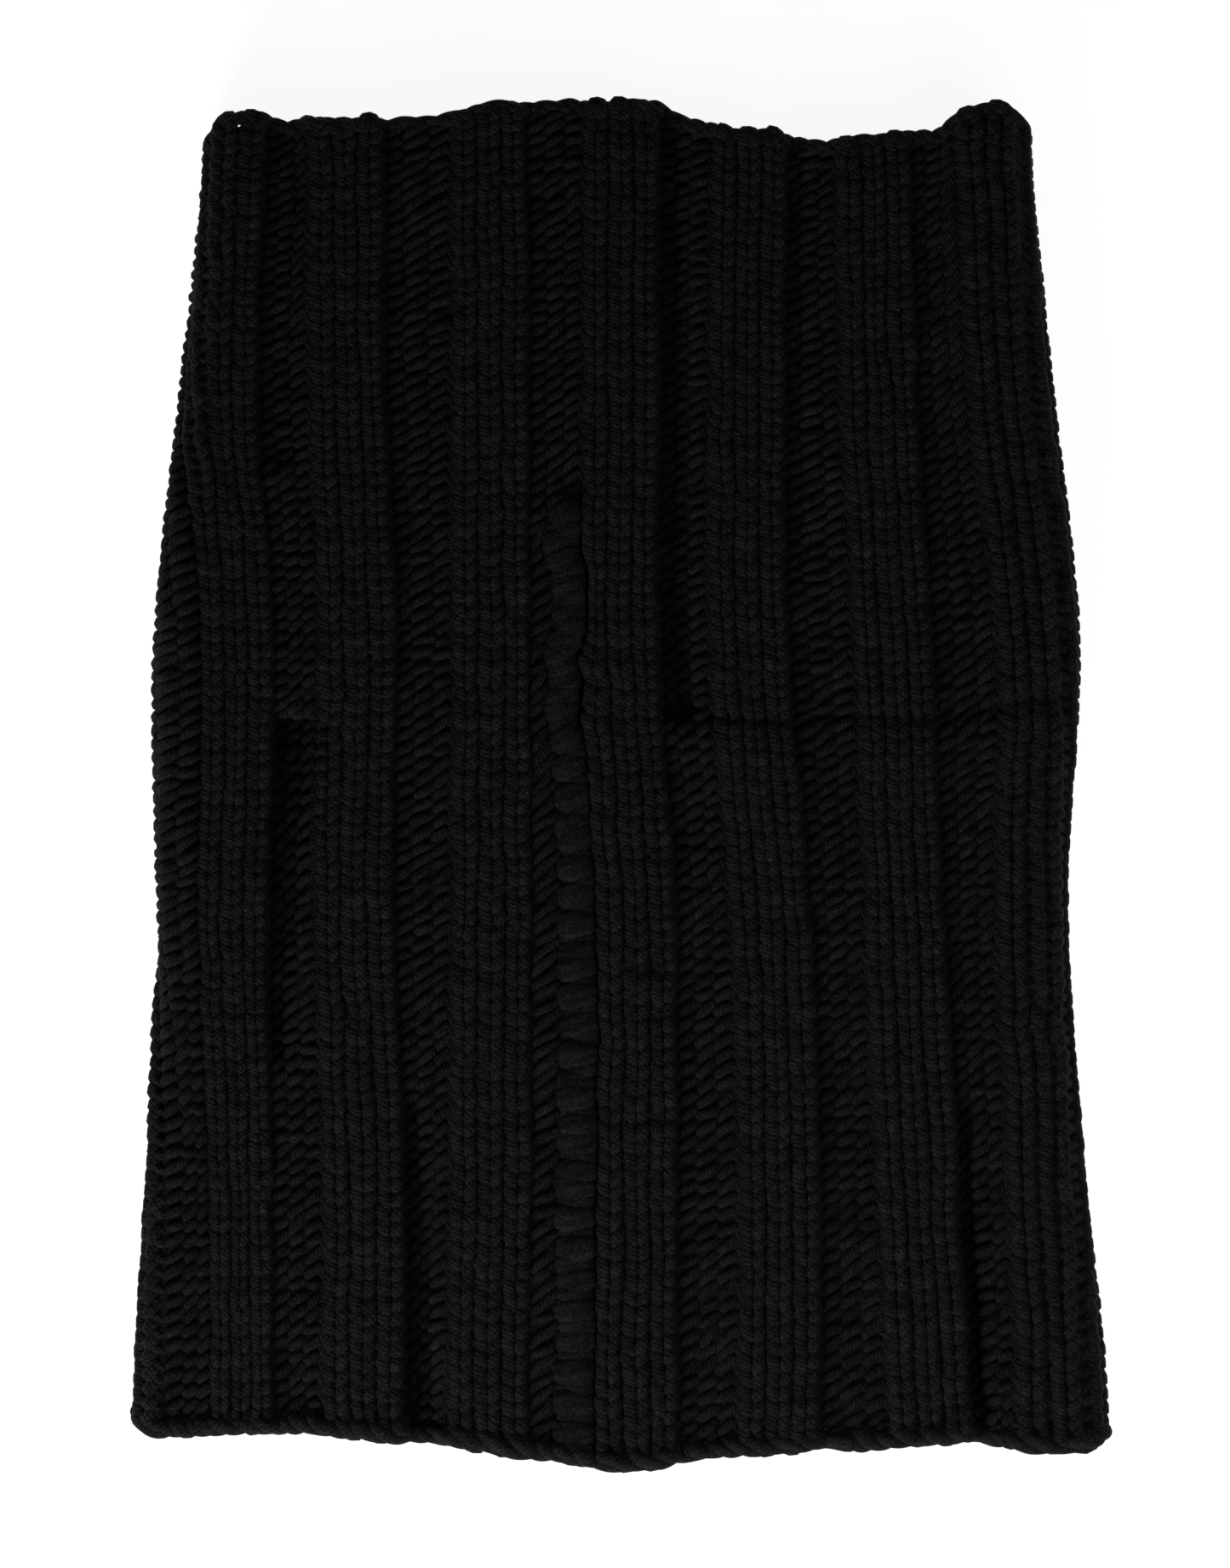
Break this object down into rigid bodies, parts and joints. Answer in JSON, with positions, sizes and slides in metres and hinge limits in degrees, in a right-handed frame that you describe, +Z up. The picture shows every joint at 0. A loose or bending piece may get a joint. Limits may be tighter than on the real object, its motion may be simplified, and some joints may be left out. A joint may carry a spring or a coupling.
{
  "type": "knitted balaclava",
  "caption": "Long knitted tube hood in wide rib with a face slit in its front seam, laid flat and open at both ends.",
  "frame": {"origin": "on the surface the tube lies on, under the middle of its outline", "axes": "+Y along the tube from the hem to the top edge, +Z up out of the front layer, +X to the viewer's right looking down on the front"},
  "size_m": [0.2762, 0.388, 0.0246],
  "materials": {
    "knit_rib": "matte brushed wool, knit face",
    "knit_purl": "matte brushed wool, purl face",
    "knit_edge": "matte brushed wool, cast-on and bound-off edges",
    "seam_wool": "matte brushed wool, selvedge and sewing yarn"
  },
  "bodies": {
    "root": {"knit_rib_01": "knit_rib", "knit_rib_02": "knit_rib", "knit_rib_03": "knit_rib", "knit_rib_04": "knit_rib", "knit_rib_05": "knit_rib", "knit_rib_06": "knit_rib", "knit_rib_07": "knit_rib", "knit_rib_08": "knit_rib", "knit_rib_09": "knit_rib", "knit_rib_10": "knit_rib", "knit_rib_11": "knit_rib", "knit_rib_12": "knit_rib", "knit_rib_13": "knit_rib", "knit_rib_14": "knit_rib", "purl_panel_01": "knit_purl", "purl_panel_02": "knit_purl", "purl_panel_03": "knit_purl", "purl_panel_04": "knit_purl", "purl_panel_05": "knit_purl", "purl_panel_06": "knit_purl", "purl_panel_07": "knit_purl", "purl_panel_08": "knit_purl", "purl_panel_09": "knit_purl", "purl_panel_10": "knit_purl", "purl_panel_11": "knit_purl", "purl_panel_12": "knit_purl", "purl_panel_13": "knit_purl", "purl_panel_14": "knit_purl", "purl_panel_03_above_slit": "knit_purl", "slit_lip": "seam_wool", "seam_selvedge": "seam_wool", "seam_yarn": "seam_wool", "hem_front": "knit_edge", "hem_back": "knit_edge", "top_edge_front": "knit_edge", "top_edge_back": "knit_edge"}
  },
  "joints": []
}
